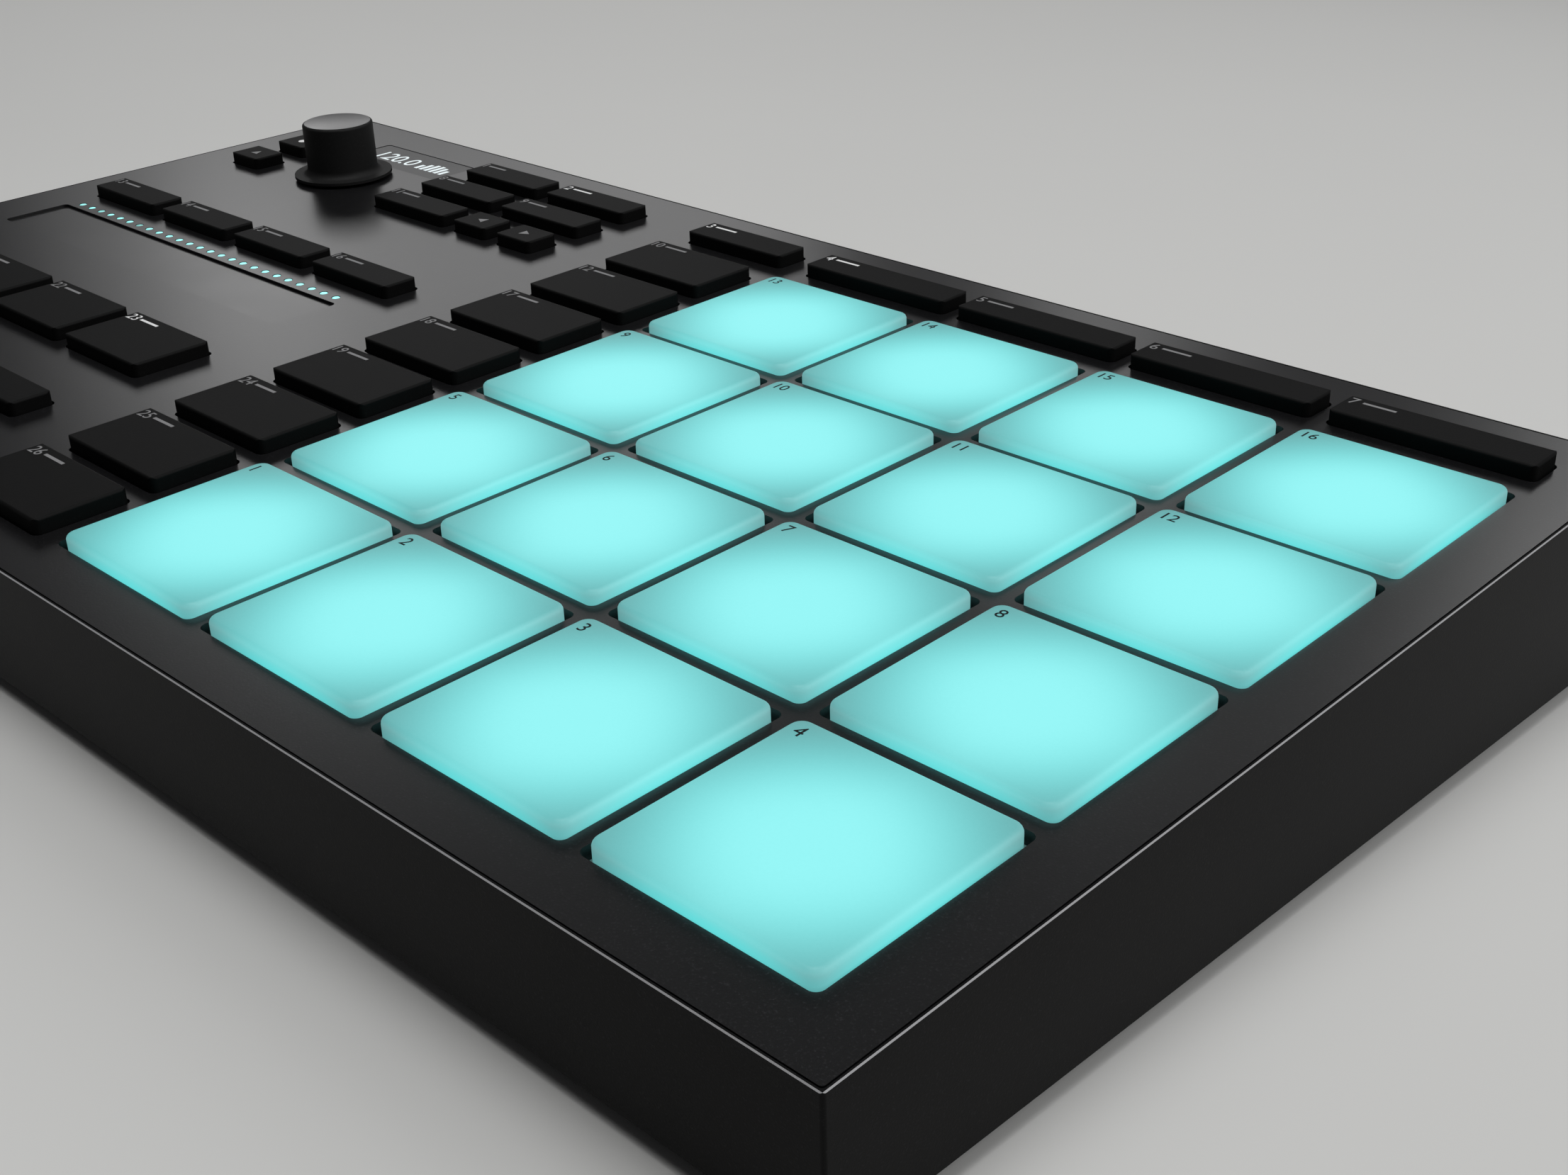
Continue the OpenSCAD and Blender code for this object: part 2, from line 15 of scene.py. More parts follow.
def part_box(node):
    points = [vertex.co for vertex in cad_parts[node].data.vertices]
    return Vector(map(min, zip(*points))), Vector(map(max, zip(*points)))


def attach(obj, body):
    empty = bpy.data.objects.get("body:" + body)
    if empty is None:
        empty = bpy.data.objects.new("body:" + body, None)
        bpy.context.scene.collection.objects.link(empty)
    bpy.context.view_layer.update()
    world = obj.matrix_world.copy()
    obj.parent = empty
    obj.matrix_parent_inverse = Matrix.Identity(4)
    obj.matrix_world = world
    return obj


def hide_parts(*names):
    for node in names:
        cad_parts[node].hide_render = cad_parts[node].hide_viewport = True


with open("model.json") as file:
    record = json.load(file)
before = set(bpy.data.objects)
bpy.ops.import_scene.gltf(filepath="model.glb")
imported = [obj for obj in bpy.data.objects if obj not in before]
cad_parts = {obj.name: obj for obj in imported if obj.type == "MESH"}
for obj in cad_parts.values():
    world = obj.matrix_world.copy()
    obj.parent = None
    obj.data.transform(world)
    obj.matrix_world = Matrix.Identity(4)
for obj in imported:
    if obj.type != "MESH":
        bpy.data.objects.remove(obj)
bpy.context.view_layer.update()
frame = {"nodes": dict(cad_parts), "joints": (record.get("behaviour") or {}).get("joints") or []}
NODES = frame["nodes"]
MM = 0.001

# The panel's own axes, from the direction in which a key is pressed

press = next(j["axis"] for j in frame["joints"] if j["name"] == "mute_key_press")
UP = -np.array(press) / np.linalg.norm(press)
RIGHT = np.array([1.0, 0.0, 0.0])
AXES = np.stack([RIGHT, np.cross(UP, RIGHT), UP])


def node_points(name):
    """A node's vertices in the shared frame, in metres."""
    mesh = NODES[name].data
    flat = np.empty(3 * len(mesh.vertices), np.float32)
    mesh.vertices.foreach_get("co", flat)
    return flat.reshape(-1, 3).astype(float)


panel = node_points("top_panel") @ AXES.T
MIDDLE = np.array([0.0, (panel[:, 1].min() + panel[:, 1].max()) / 2, panel[:, 2].max()])


def on_panel(points):
    """Points in millimetres on the panel, as metres in the shared frame."""
    return (np.asarray(points, float) * MM + MIDDLE) @ AXES


# What reaches above the panel, and what counts as one level, in millimetres

ABOVE_PANEL = 0.3
NEAR = 0.01


def panel_points(name, above=-np.inf):
    """A node's vertices in millimetres on the panel, those higher than a level."""
    points = (node_points(name) @ AXES.T - MIDDLE) / MM
    return points[points[:, 2] > above]


def corners(points):
    """Lowest and highest corner of some points."""
    return points.min(0), points.max(0)


def runs(values, gap):
    """Middles and widths of the runs in a row of values. A step wider than the gap parts
    two runs."""
    values = np.sort(values)
    ends = np.flatnonzero(np.diff(values) > gap)
    low = values[np.append(0, ends + 1)]
    high = values[np.append(ends, len(values) - 1)]
    return (low + high) / 2, high - low


# Shapes, each a pair of points and groups of faces


def ring_template(along, round_):
    """A rounded rectangle as two arrays a and b: its points are a * (half - r) + b * r.
    On each side a runs from corner to corner while b points straight out; on each corner
    a stays at the corner while b turns through a quarter circle."""
    t = np.linspace(-1, 1, along)
    q = np.linspace(0, np.pi / 2, round_)[1:-1]
    side_a = np.stack([np.ones_like(t), t], 1)
    side_b = np.stack([np.ones_like(t), np.zeros_like(t)], 1)
    arc_a = np.ones((len(q), 2))
    arc_b = np.stack([np.cos(q), np.sin(q)], 1)
    a = np.concatenate([side_a, arc_a])
    b = np.concatenate([side_b, arc_b])
    turns = [np.array([[c, s], [-s, c]]) for c, s in ((1, 0), (0, 1), (-1, 0), (0, -1))]
    return np.concatenate([a @ m for m in turns]), np.concatenate([b @ m for m in turns])


def rounded_rings(profile, along=15, round_=7):
    """A profile carried round rounded rectangles: each row of the profile is half width,
    half depth, corner radius and height, and gives one closed ring of points."""
    profile = np.asarray(profile, float)
    half, r, z = profile[:, :2], profile[:, 2], profile[:, 3]
    a, b = ring_template(along, round_)
    flat = a[None] * (half - r[:, None])[:, None, :] + b[None] * r[:, None, None]
    height = np.broadcast_to(z[:, None, None], flat.shape[:2] + (1,))
    return np.concatenate([flat, height], 2)


def turned_rings(profile, steps=48, outline=1.0):
    """A profile turned about the z axis: each row is radius, height and how far its ring
    goes from a circle, 0, to the given outline, 1, which is a radius for each angle."""
    profile = np.asarray(profile, float)
    radius, z, share = profile[:, :1], profile[:, 1], profile[:, 2:3]
    angle = np.linspace(0, 2 * np.pi, steps, endpoint=False)
    reach = radius * (1 - share + share * outline)
    height = np.broadcast_to(z[:, None], (len(profile), steps))
    return np.stack([reach * np.cos(angle), reach * np.sin(angle), height], 2)


def outline_rings(outline, low, high):
    """A flat outline lifted straight up from one height to another."""
    outline = np.asarray(outline, float)
    levels = np.array([low, high])[:, None, None]
    height = np.broadcast_to(levels, (2, len(outline), 1))
    return np.concatenate([np.broadcast_to(outline, (2,) + outline.shape), height], 2)


def skin(rings):
    """A closed skin over rings that run from the lowest to the highest: four-sided faces
    between neighbours, and a fan to the middle of the first and the last ring."""
    rows, n = rings.shape[:2]
    i = np.arange(n)
    j = (i + 1) % n
    base = (np.arange(rows - 1) * n)[:, None]
    quads = np.stack([base + i, base + j, base + j + n, base + i + n], 2).reshape(-1, 4)
    low, high = rows * n, rows * n + 1
    top = (rows - 1) * n
    fans = np.concatenate([
        np.stack([j, i, np.full(n, low)], 1),
        np.stack([top + i, top + j, np.full(n, high)], 1),
    ])
    return np.concatenate([rings.reshape(-1, 3), rings[[0, -1]].mean(1)]), [quads, fans]


def several(shape, places):
    """The same small shape set down at several places, as one shape."""
    points, faces = shape
    places = np.asarray(places, float)
    steps = (np.arange(len(places)) * len(points))[:, None, None]
    moved = (points[None] + places[:, None]).reshape(-1, 3)
    return moved, [(group[None] + steps).reshape(-1, group.shape[1]) for group in faces]


def together(shapes):
    """Several shapes as one."""
    starts = np.cumsum([0] + [len(points) for points, _ in shapes])
    faces = [group + start for (_, groups), start in zip(shapes, starts) for group in groups]
    return np.concatenate([points for points, _ in shapes]), faces


INK = 0.03


def figures(text, height):
    """Plain figures as a film of ink, lower left corner at zero."""
    curve = bpy.data.curves.new("figures", "FONT")
    curve.body = text
    curve.resolution_u = 4
    curve.extrude = 0.5
    carrier = bpy.data.objects.new("figures", curve)
    bpy.context.scene.collection.objects.link(carrier)
    bpy.context.view_layer.update()
    mesh = bpy.data.meshes.new_from_object(carrier)
    mesh.calc_loop_triangles()
    points = np.empty(3 * len(mesh.vertices), np.float32)
    mesh.vertices.foreach_get("co", points)
    faces = np.empty(3 * len(mesh.loop_triangles), np.int32)
    mesh.loop_triangles.foreach_get("vertices", faces)
    bpy.data.objects.remove(carrier)
    bpy.data.curves.remove(curve)
    bpy.data.meshes.remove(mesh)
    points = points.reshape(-1, 3).astype(float)
    points -= points.min(0)
    scale = height / points[:, 1].max()
    return points * [scale, scale, INK], [faces.reshape(-1, 3)]


SMOOTH_DEG = 40


def make_piece(name, points, faces, material, body):
    """One finished piece from points in the shared frame: its object sits at the origin."""
    mesh = bpy.data.meshes.new(name)
    mesh.from_pydata(points.tolist(), [], [face for group in faces for face in group.tolist()])
    mesh.materials.append(material)
    mesh.shade_smooth()
    mesh.set_sharp_from_angle(angle=np.radians(SMOOTH_DEG))
    mesh.validate()
    piece = bpy.data.objects.new(name, mesh)
    bpy.context.scene.collection.objects.link(piece)
    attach(piece, body)
    return piece


def give_glow(piece, colours):
    """Stores the light that leaves each point of a lit piece."""
    shade = np.ones((len(colours), 4), np.float32)
    shade[:, :3] = colours
    glow = piece.data.attributes.new("glow", "FLOAT_COLOR", "POINT")
    glow.data.foreach_set("color", shade.ravel())


# Materials


def linear(hex_colour):
    """An sRGB hex colour as linear red, green, blue and alpha."""
    c = np.array([int(hex_colour[i:i + 2], 16) for i in (1, 3, 5)]) / 255
    c = np.where(c <= 0.04045, c / 12.92, ((c + 0.055) / 1.055) ** 2.4)
    return (*c.tolist(), 1.0)


def add(tree, kind, values=None, links=None, **settings):
    """Adds a node: settings are its properties, values its fixed sockets, links its wired ones."""
    n = tree.nodes.new(kind)
    for key, value in settings.items():
        setattr(n, key, value)
    for socket, value in (values or {}).items():
        n.inputs[socket].default_value = value
    for socket, source in (links or {}).items():
        tree.links.new(source, n.inputs[socket])
    return n


def new_material(name):
    """An empty material, as the material and its node tree."""
    material = bpy.data.materials.new(name)
    material.use_nodes = True
    material.node_tree.nodes.clear()
    return material, material.node_tree


CLOUD_MM = 35
GRAIN_DEPTH_MM = 0.05
GLOSS_SWING = 0.02
FLECKS = (0.58, 0.78)
CHAMFER_LEAN = 0.7071
CHAMFER_SPAN = 0.2
FROST_BUMP = 0.15
FROST_DEPTH_MM = 0.02


def moulded(name, dark, light, fleck, roughness, grain_mm, bump, specular, edge=None):
    """A moulded surface with a spark-eroded grain. Its colour drifts from dark to light in wide
    clouds, the highest grains show as flecks, and the grain moves the gloss and the normal too.
    edge is the colour of a painted highlight on narrow chamfers, whose faces lean halfway between
    up and level: a thin pale line in place of the lamps' reflection there."""
    material, tree = new_material(name)
    place = add(tree, "ShaderNodeTexCoord").outputs
    grain = add(tree, "ShaderNodeTexNoise", {"Scale": 1 / (grain_mm * MM), "Detail": 2.0},
                {"Vector": place["Object"]}).outputs["Fac"]
    cloud = add(tree, "ShaderNodeTexNoise", {"Scale": 1 / (CLOUD_MM * MM), "Detail": 2.0},
                {"Vector": place["Object"]}).outputs["Fac"]
    colour = add(tree, "ShaderNodeMix", {6: linear(dark), 7: linear(light)}, {0: cloud},
                 data_type="RGBA").outputs[2]
    height = add(tree, "ShaderNodeMapRange", {"From Min": FLECKS[0], "From Max": FLECKS[1]},
                 {"Value": grain}).outputs[0]
    colour = add(tree, "ShaderNodeMix", {7: linear(fleck)}, {0: height, 6: colour},
                 data_type="RGBA").outputs[2]
    # Painted highlight: faces that lean like chamfers take the pale edge colour
    if edge:
        lean = add(tree, "ShaderNodeVectorMath", {1: tuple(UP)}, {0: place["Normal"]},
                   operation="DOT_PRODUCT").outputs["Value"]
        chamfer_highlight_mask = add(tree, "ShaderNodeMath", {1: CHAMFER_LEAN, 2: CHAMFER_SPAN}, {0: lean},
                      operation="COMPARE").outputs[0]
        colour = add(tree, "ShaderNodeMix", {7: linear(edge)}, {0: chamfer_highlight_mask, 6: colour},
                     data_type="RGBA").outputs[2]
    gloss = add(tree, "ShaderNodeMapRange",
                {"To Min": roughness - GLOSS_SWING, "To Max": roughness + GLOSS_SWING},
                {"Value": grain}).outputs[0]
    normal = add(tree, "ShaderNodeBump", {"Strength": bump, "Distance": GRAIN_DEPTH_MM * MM},
                 {"Height": grain}).outputs[0]
    shader = add(tree, "ShaderNodeBsdfPrincipled", {"Specular IOR Level": specular, "IOR": 1.5},
                 {"Base Color": colour, "Roughness": gloss, "Normal": normal})
    add(tree, "ShaderNodeOutputMaterial", links={0: shader.outputs[0]})
    return material


def tinted(name, colour, other, mottle_mm, roughness, metallic=0.0, specular=0.5):
    """A smooth surface whose colour and gloss drift a little between two near tones."""
    material, tree = new_material(name)
    place = add(tree, "ShaderNodeTexCoord").outputs["Object"]
    drift = add(tree, "ShaderNodeTexNoise", {"Scale": 1 / (mottle_mm * MM), "Detail": 3.0},
                {"Vector": place}).outputs["Fac"]
    tint = add(tree, "ShaderNodeMix", {6: linear(colour), 7: linear(other)}, {0: drift},
               data_type="RGBA").outputs[2]
    gloss = add(tree, "ShaderNodeMapRange",
                {"To Min": roughness - GLOSS_SWING, "To Max": roughness + GLOSS_SWING},
                {"Value": drift}).outputs[0]
    shader = add(tree, "ShaderNodeBsdfPrincipled",
                 {"Metallic": metallic, "Specular IOR Level": specular},
                 {"Base Color": tint, "Roughness": gloss})
    add(tree, "ShaderNodeOutputMaterial", links={0: shader.outputs[0]})
    return material


def glowing(name, colour, other, frost_mm, roughness, ior):
    """A frosted body over a lamp: milky by itself, and brighter by the piece's own glow."""
    material, tree = new_material(name)
    place = add(tree, "ShaderNodeTexCoord").outputs["Object"]
    frost = add(tree, "ShaderNodeTexNoise", {"Scale": 1 / (frost_mm * MM), "Detail": 2.0},
                {"Vector": place}).outputs["Fac"]
    milk = add(tree, "ShaderNodeMix", {6: linear(colour), 7: linear(other)}, {0: frost},
               data_type="RGBA").outputs[2]
    normal = add(tree, "ShaderNodeBump",
                 {"Strength": FROST_BUMP, "Distance": FROST_DEPTH_MM * MM},
                 {"Height": frost}).outputs[0]
    glow = add(tree, "ShaderNodeAttribute", attribute_name="glow").outputs["Color"]
    shader = add(tree, "ShaderNodeBsdfPrincipled",
                 {"Roughness": roughness, "IOR": ior, "Emission Strength": 1.0},
                 {"Base Color": milk, "Normal": normal, "Emission Color": glow})
    add(tree, "ShaderNodeOutputMaterial", links={0: shader.outputs[0]})
    return material


# ABS from a spark-eroded mould: black, with a broad grey sheen and fine pale flecks
PANEL_ABS = moulded("spark_eroded_abs_panel", "#0D0D0E", "#131314", "#28282A",
                    roughness=0.3, grain_mm=0.3, bump=0.12, specular=0.5)
# The same ABS, duller on the walls and darker there as painted shade, with a painted highlight
# on its chamfered edge that draws a thin bright line round the top
CASE_ABS = moulded("spark_eroded_abs_case", "#070707", "#0C0C0D", "#1C1C1D",
                   roughness=0.5, grain_mm=0.3, bump=0.25, specular=0.08, edge="#A6A6A8")
# ABS with a coarse grain, drawn at 0.6 mm: a dull, slightly rough underside
BASE_ABS = moulded("coarse_abs_base", "#0E0E0F", "#161616", "#242424",
                   roughness=0.6, grain_mm=0.6, bump=0.5, specular=0.3)
# ABS with a soft-touch coating: nearly black, with only wide dull highlights
KEY_COAT = moulded("soft_touch_key_coat", "#050505", "#090909", "#101010",
                   roughness=0.62, grain_mm=0.35, bump=0.15, specular=0.12)
# Soft rubber moulded over the knob: an even dark grey without highlights
KNOB_RUBBER = moulded("moulded_knob_rubber", "#171717", "#1D1D1D", "#242424",
                      roughness=0.6, grain_mm=0.4, bump=0.2, specular=0.15)
# Smooth ABS disc in the knob's top: a satin face that catches the lamps
KNOB_ABS = moulded("satin_abs_disc", "#0C0C0D", "#121213", "#161617",
                   roughness=0.3, grain_mm=0.6, bump=0.08, specular=0.8)
# Moulded rubber with a coarse grain, drawn at 0.8 mm: dull black without highlights
FOOT_RUBBER = moulded("moulded_foot_rubber", "#0C0C0C", "#131313", "#1E1E1E",
                      roughness=0.8, grain_mm=0.8, bump=0.6, specular=0.2)
# Polished ABS over the sensor: the panel's black with an even sheen and no grain
STRIP_ABS = tinted("polished_abs_strip", "#0E0E0F", "#131314", mottle_mm=15, roughness=0.29)
# Smoked acrylic with a matt hard coat: a black window with a faint veil of light
PANE_ACRYLIC = tinted("smoked_acrylic_pane", "#0B0C0E", "#0E0F11",
                      mottle_mm=12, roughness=0.36, specular=0.4)
# Nickel-plated steel sheet: bright, with soft reflections
NICKEL_STEEL = tinted("nickel_plated_steel", "#B9BABC", "#A8A9AB",
                      mottle_mm=2.0, roughness=0.3, metallic=1.0)
# Blackened steel: dark metal with a dull glint on its edges
BLACK_STEEL = tinted("blackened_steel", "#2A2A2C", "#333336",
                     mottle_mm=1.0, roughness=0.4, metallic=1.0)
# Turned aluminium: pale metal with a silky gloss
ALUMINIUM = tinted("turned_aluminium", "#C4C5C7", "#B6B7B9",
                   mottle_mm=1.0, roughness=0.32, metallic=1.0)
# Gold flash on brass springs: small warm glints
GOLD_BRASS = tinted("gold_flashed_brass", "#D2A85A", "#C79C4C",
                    mottle_mm=0.5, roughness=0.25, metallic=1.0)
# Black nylon: the plain dull core of the cable socket
SOCKET_NYLON = tinted("black_nylon", "#161617", "#1C1C1D", mottle_mm=1.0, roughness=0.5)
# Solder mask over glass laminate: deep green with a wet gloss
SOLDER_MASK = tinted("solder_mask", "#124428", "#17502F", mottle_mm=4.0, roughness=0.35)
# Printed polyester film: brown with a dull gloss
SENSOR_FILM = tinted("printed_polyester", "#5A4A2E", "#665536", mottle_mm=3.0, roughness=0.45)
# Screen-printing ink: flat dark figures on the pads
DARK_INK = tinted("dark_screen_ink", "#071012", "#0B1618",
                  mottle_mm=0.5, roughness=0.6, specular=0.2)
# Screen-printing ink: flat grey figures on the keys
GREY_INK = tinted("grey_screen_ink", "#8C8C8D", "#7E7E7F",
                  mottle_mm=0.5, roughness=0.6, specular=0.2)
# Screen-printing ink: real figures, painted white where a key is on as painted light for its lit
# print
PAINTED_LIT_INK = tinted("white_screen_ink", "#F0F0F0", "#E6E6E6",
                   mottle_mm=0.5, roughness=0.6, specular=0.2)
# Frosted silicone over lamps: a milky body, brightest over its lamp and greyer at its corners;
# on the pads' sides a painted neutral glow stands in for scattered room light
SILICONE = glowing("frosted_silicone", "#698C8C", "#6F9292",
                   frost_mm=0.4, roughness=0.5, ior=1.41)
# Clear polycarbonate over lamps: small even points of light
LENS = glowing("lit_polycarbonate", "#5A7A79", "#638382",
               frost_mm=0.5, roughness=0.35, ior=1.58)
# Matt floor paint: a pale, even ground
FLOOR_PAINT = tinted("pale_painted_floor", "#D6D6D4", "#D2D2D0",
                     mottle_mm=200, roughness=0.7, specular=0.2)

FINISH = {
    "top_panel": PANEL_ABS, "case_frame": CASE_ABS, "base_cover": BASE_ABS,
    "case_screws": BLACK_STEEL, "rubber_feet": FOOT_RUBBER, "main_board": SOLDER_MASK,
    "pad_sensor_sheet": SENSOR_FILM, "display": PANE_ACRYLIC, "touch_strip": STRIP_ABS,
    "usb_socket": NICKEL_STEEL, "encoder_shaft": ALUMINIUM, "knob": KNOB_RUBBER,
}
PADS = [f"pad_{number}" for number in range(1, 17)]
KEYS = [name for name in NODES if name.endswith("_key")]
for name, node in NODES.items():
    node.data.materials.clear()
    node.data.materials.append(FINISH.get(name, SILICONE if name in PADS else KEY_COAT))

# Pads: their form in millimetres

PAD_CROWN = 0.12
PAD_EDGE = 0.8
PAD_CORNER = 1.9
PAD_SHARPEST = 0.05
PAD_TAPER = (0.115, 0.6)
PAD_MIDDLE = 0.3
PAD_LIP = 1.25
PAD_FOOT = 12
PAD_LEVELS = {"foot": -5.0, "lip": -3.4, "lip_top": -2.02}
PAD_FIGURE = 2.05
PAD_FIGURE_INSET = (1.75, 3.75)

# Their light: the lamp's place, and the colour and the reach over the top and down the sides

PAD_LAMP = np.array([1.7, -1.7])
GLOW_SHAPE = 1.7
TOP_GLOW = np.array([0.17, 0.69, 0.69])
TOP_FALL = (19.1, 3.8)
TOP_WHITER = np.array([2, 1, 1])
SIDE_GLOW = np.array([0.08, 0.63, 0.63])
SIDE_FALL = (21.5, 6.7)
SIDE_BLUER = np.array([-0.055, 0.02, 0.02])
# Painted light: a neutral glow on the sides that stands in for room light scattered through the
# silicone
SIDE_PAINTED_GLOW = 0.1
DARK_LEVEL = -1.7
DARK_FADE = 0.9


def pad_crown(x, y, half):
    """Swell of a pad's top: the product of two parabolas that vanish at its edges."""
    return PAD_CROWN * np.clip(1 - (x / half) ** 2, 0, 1) * np.clip(1 - (y / half) ** 2, 0, 1)


def fall(distance, reach, power):
    """Light that falls with a power of the distance; half of it is left at the reach."""
    return 1 / (1 + (distance / reach) ** power)[:, None]


def pad_glow(points, half):
    """Light that leaves a pad. It falls off with the distance from the lamp, taken between a
    circle's and a diamond's, and is whitest over the lamp, where red is brightest. The sides
    begin where the rounded outline turns over; they carry a painted neutral glow that stands in
    for room light scattered through the silicone, and are bluer towards the panel, below which
    the light goes out."""
    flat, z = points[:, :2], points[:, 2:]
    away = (np.abs(flat - PAD_LAMP) ** GLOW_SHAPE).sum(1) ** (1 / GLOW_SHAPE)
    past_corner = np.maximum(np.abs(flat) - half + PAD_CORNER, 0)
    outline = np.linalg.norm(past_corner, axis=1) - PAD_CORNER
    side = np.clip(1 + outline[:, None] / PAD_EDGE, 0, 1) ** 2
    over_top = TOP_GLOW * fall(away, *TOP_FALL) ** TOP_WHITER
    depth = np.clip(z.max() - PAD_EDGE - z, 0, 1)
    down_side = (SIDE_GLOW + SIDE_BLUER * depth) * fall(away, *SIDE_FALL) + SIDE_PAINTED_GLOW
    lit = np.clip((z - DARK_LEVEL) / DARK_FADE, 0, 1)
    return (over_top * (1 - side) + down_side * side) * lit


def pad_rings(half, top):
    """A pad's rings from its foot over the lip and up the side, round the edge, which is a
    quarter circle, and in over its top, where the corners sharpen towards the middle."""
    arc = np.linspace(0, np.pi / 2, 7)
    inset = PAD_EDGE * (1 - np.cos(arc))
    edge = np.stack([half - inset, half - inset, np.maximum(PAD_CORNER - inset, PAD_SHARPEST),
                     top - PAD_EDGE * (1 - np.sin(arc))], 1)
    inward = half - np.linspace(PAD_EDGE, half - PAD_MIDDLE, 16)[1:]
    radius = np.maximum(inward * PAD_TAPER[0] - PAD_TAPER[1], PAD_SHARPEST)
    flat = np.stack([inward, inward, np.minimum(radius, inward), np.full_like(inward, top)], 1)
    rise = np.linspace(PAD_LEVELS["lip_top"], top - PAD_EDGE, 6)[:-1]
    side = [(half, half, PAD_CORNER, z) for z in rise]
    lip = half + PAD_LIP
    below = [(PAD_FOOT, PAD_FOOT, PAD_CORNER, PAD_LEVELS["foot"]),
             (PAD_FOOT, PAD_FOOT, PAD_CORNER, PAD_LEVELS["lip"]),
             (lip, lip, PAD_CORNER, PAD_LEVELS["lip"]),
             (lip, lip, PAD_CORNER, PAD_LEVELS["lip_top"])]
    return rounded_rings(np.concatenate([below, side, edge, flat]))


def lit_pad(name, number):
    """A crowned pad in place of its plain solid, with its number in the rear left corner."""
    low, high = corners(panel_points(name, ABOVE_PANEL))
    half, top = (high[0] - low[0]) / 2, high[2]
    middle = np.array([(low[0] + high[0]) / 2, (low[1] + high[1]) / 2, 0])
    points, faces = skin(pad_rings(half, top))
    on_top = points[:, 2] > top - NEAR
    points[:, 2] += np.where(on_top, pad_crown(points[:, 0], points[:, 1], half), 0)
    piece = make_piece(f"lit_{name}", on_panel(points + middle), faces, SILICONE, name)
    give_glow(piece, pad_glow(points, half))
    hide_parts(name)
    marks, mark_faces = figures(str(number), PAD_FIGURE)
    marks += [PAD_FIGURE_INSET[0] - half, half - PAD_FIGURE_INSET[1], top]
    marks[:, 2] += pad_crown(marks[:, 0], marks[:, 1], half)
    make_piece(f"number_{name}", on_panel(marks + middle), mark_faces, DARK_INK, name)


for number, name in enumerate(PADS, 1):
    lit_pad(name, number)

# Prints on the keys: a plain number with a bar beside it, or a plain sign

KEY_FIGURE = 2.2
KEY_PRINT_INSET = (0.8, 0.9)
KEY_BAR = (5.5, 0.6)
KEY_BAR_SPACE = 0.8
CAP_LEVEL, CAP_GAP = 2.0, 2
SIGN_HALF = 1.1
BAR_STEP = 0.6
TURN = np.linspace(0, 2 * np.pi, 24, endpoint=False)
DISC = np.stack([np.cos(TURN), np.sin(TURN)], 1)
TRIANGLE = np.array([(-0.9, -SIGN_HALF), (SIGN_HALF, 0), (-0.9, SIGN_HALF)])
SQUARE = np.array([(-0.9, -0.9), (0.9, -0.9), (0.9, 0.9), (-0.9, 0.9)])
BAR = np.array([(-0.35, -1), (0.35, -1), (0.35, 1), (-0.35, 1)])
KEYS_ON = ["pad_mode_key", "fixed_velocity_key", "note_repeat_key", "plugin_key", "favourite_key"]
SIGNS = {"left_arrow_key": -TRIANGLE, "right_arrow_key": TRIANGLE, "search_key": SQUARE,
         "favourite_key": DISC, "home_key": TRIANGLE[:, ::-1] * [-1, 1]}


def stamp(outline):
    """A flat sign as a film of ink."""
    return skin(outline_rings(outline, 0, INK))


def number_and_bar(number):
    """A plain number and a bar beside it at half its height, rear left corner at zero."""
    points, faces = figures(str(number), KEY_FIGURE)
    width, depth = KEY_BAR
    left, low = points[:, 0].max() + KEY_BAR_SPACE, (KEY_FIGURE - depth) / 2
    right, high = left + width, low + depth
    bar = stamp([(left, low), (right, low), (right, high), (left, high)])
    points, faces = together([(points, faces), bar])
    return points - [0, KEY_FIGURE, 0], faces


def key_print(name, shape, middle):
    """Puts a print on a key's top, in its middle or at its rear left corner."""
    low, high = corners(panel_points(name, ABOVE_PANEL))
    x, y = low[0] + KEY_PRINT_INSET[0], high[1] - KEY_PRINT_INSET[1]
    if middle:
        x, y, _ = (low + high) / 2
    # Keys that are on get white ink: painted light standing in for their lit print
    ink = PAINTED_LIT_INK if name in KEYS_ON else GREY_INK
    points, faces = shape
    make_piece(f"print_{name}", on_panel(points + [x, y, high[2]]), faces, ink, name)


for name, outline in SIGNS.items():
    key_print(name, stamp(outline), True)
plain_keys = [name for name in KEYS if name not in SIGNS]
places = {name: corners(panel_points(name, ABOVE_PANEL))[0] for name in plain_keys}
plain_keys.sort(key=lambda name: (-round(places[name][1]), places[name][0]))
for number, name in enumerate(plain_keys, 1):
    key_print(name, number_and_bar(number), False)


def transport_prints():
    """Plain signs on the front row of the transport keys, and plain numbers on the row behind
    it. A cap's top has points only along its edges, so each cap gives two runs."""
    caps = panel_points("transport_keys", CAP_LEVEL)
    columns, widths = runs(caps[:, 0], CAP_GAP)
    rows, depths = runs(caps[:, 1], CAP_GAP)
    left = (columns - widths / 2)[::2] + KEY_PRINT_INSET[0]
    rear = (rows + depths / 2)[1::2] - KEY_PRINT_INSET[1]
    top = caps[:, 2].max()
    bars = several(stamp(BAR), [(-BAR_STEP, 0, 0), (BAR_STEP, 0, 0)])
    signs = [stamp(TRIANGLE), stamp(SQUARE), stamp(DISC), bars]
    shapes = [(points + [x + SIGN_HALF, rear[0] - SIGN_HALF, top], faces)
              for x, (points, faces) in zip(left, signs)]
    for number, x in enumerate(left, 1):
        points, faces = number_and_bar(number)
        shapes.append((points + [x, rear[1], top], faces))
    points, faces = together(shapes)
    make_piece("transport_prints", on_panel(points), faces, GREY_INK, "transport_keys")


transport_prints()

# Knob


